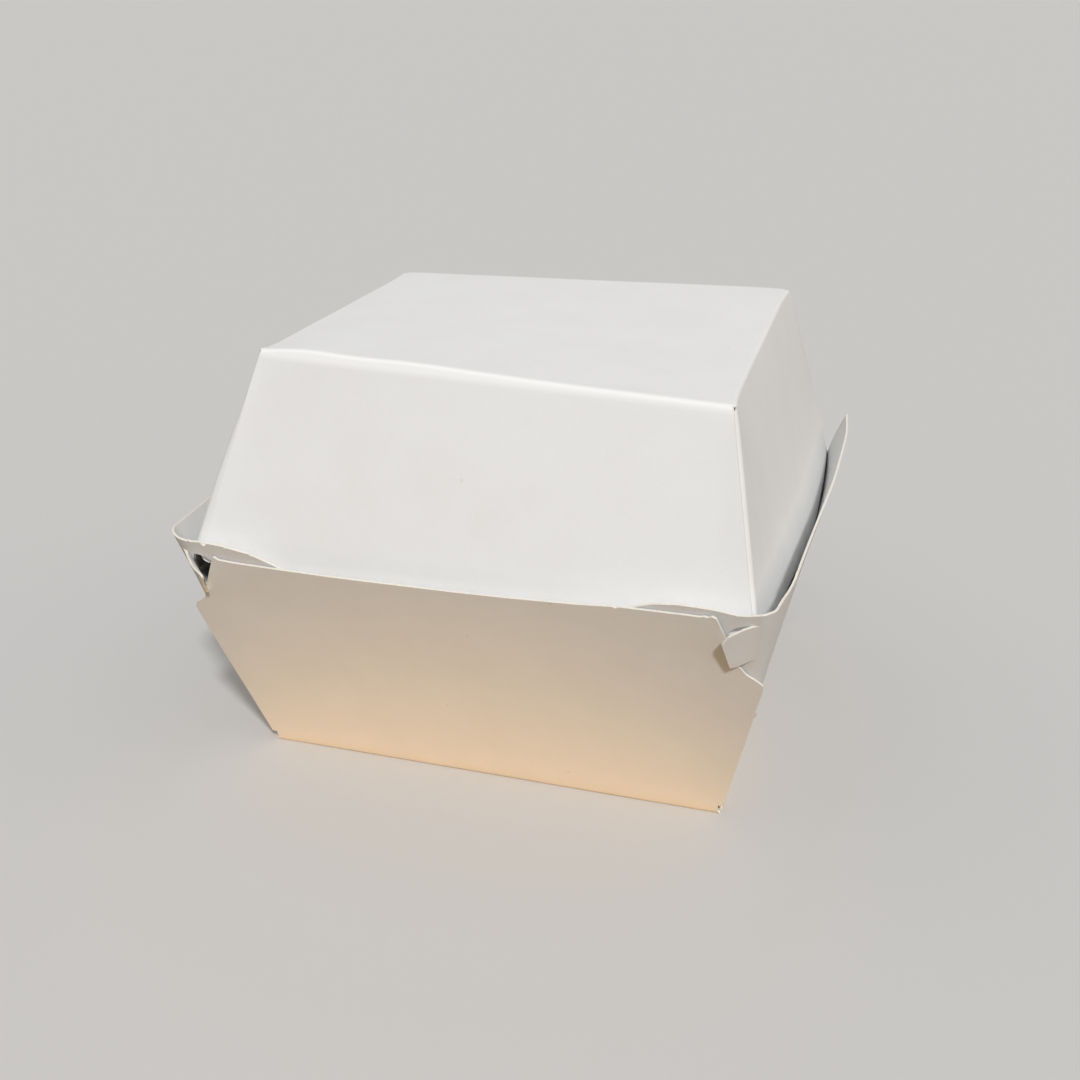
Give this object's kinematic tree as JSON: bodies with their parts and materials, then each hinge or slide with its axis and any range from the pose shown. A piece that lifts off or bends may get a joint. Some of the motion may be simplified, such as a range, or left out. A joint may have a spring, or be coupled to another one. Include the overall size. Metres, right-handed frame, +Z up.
{
  "type": "takeout food box",
  "caption": "Clamshell food box folded from white paperboard, with flared walls, hooked front corners and a hinged lid that sits inside the tray's rim.",
  "frame": {"origin": "centre of the tray's flat bottom, on its underside", "axes": "+X to the right along the front wall, +Y from the front to the hinge at the back, +Z up"},
  "size_m": [0.1238, 0.1259, 0.0894],
  "materials": {
    "tray_board": "white paperboard, matt, cream cut edges",
    "lid_board": "white paperboard, matt, cream cut edges"
  },
  "bodies": {
    "tray": {"tray": "tray_board"},
    "lid": {"lid": "lid_board"}
  },
  "joints": [
    {"name": "lid_hinge", "type": "hinge", "parent": "tray", "child": "lid", "pos_m": [0, 0.06074, 0.0448], "axis": [-1, 0, 0], "range_deg": [0, 180]}
  ]
}
